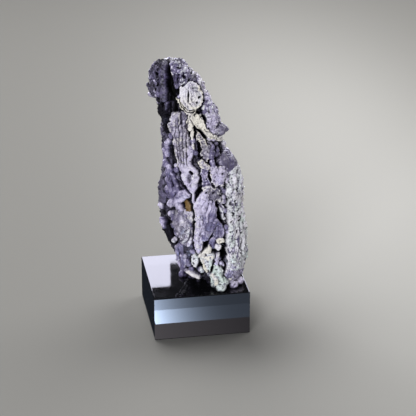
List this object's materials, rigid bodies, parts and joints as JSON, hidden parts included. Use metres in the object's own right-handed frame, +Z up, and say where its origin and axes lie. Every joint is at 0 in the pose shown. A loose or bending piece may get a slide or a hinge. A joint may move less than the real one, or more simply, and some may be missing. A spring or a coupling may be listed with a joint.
{
  "type": "grape agate specimen on a block stand",
  "caption": "Tall grape agate cluster of lilac lobes, ribs, pale crust and grape-like balls, fixed upright on a square polished black block.",
  "frame": {"origin": "centre of the block's underside", "axes": "+Z up; X along the block's front edge, to the right; +Y away from the front"},
  "size_m": [0.0762, 0.0762, 0.2196],
  "materials": {
    "agate": "waxy violet chalcedony with pale sugary crust and dark crevices",
    "black_acrylic": "polished black"
  },
  "bodies": {
    "root": {"grape_agate_cluster": "agate", "display_base": "black_acrylic"}
  },
  "joints": []
}
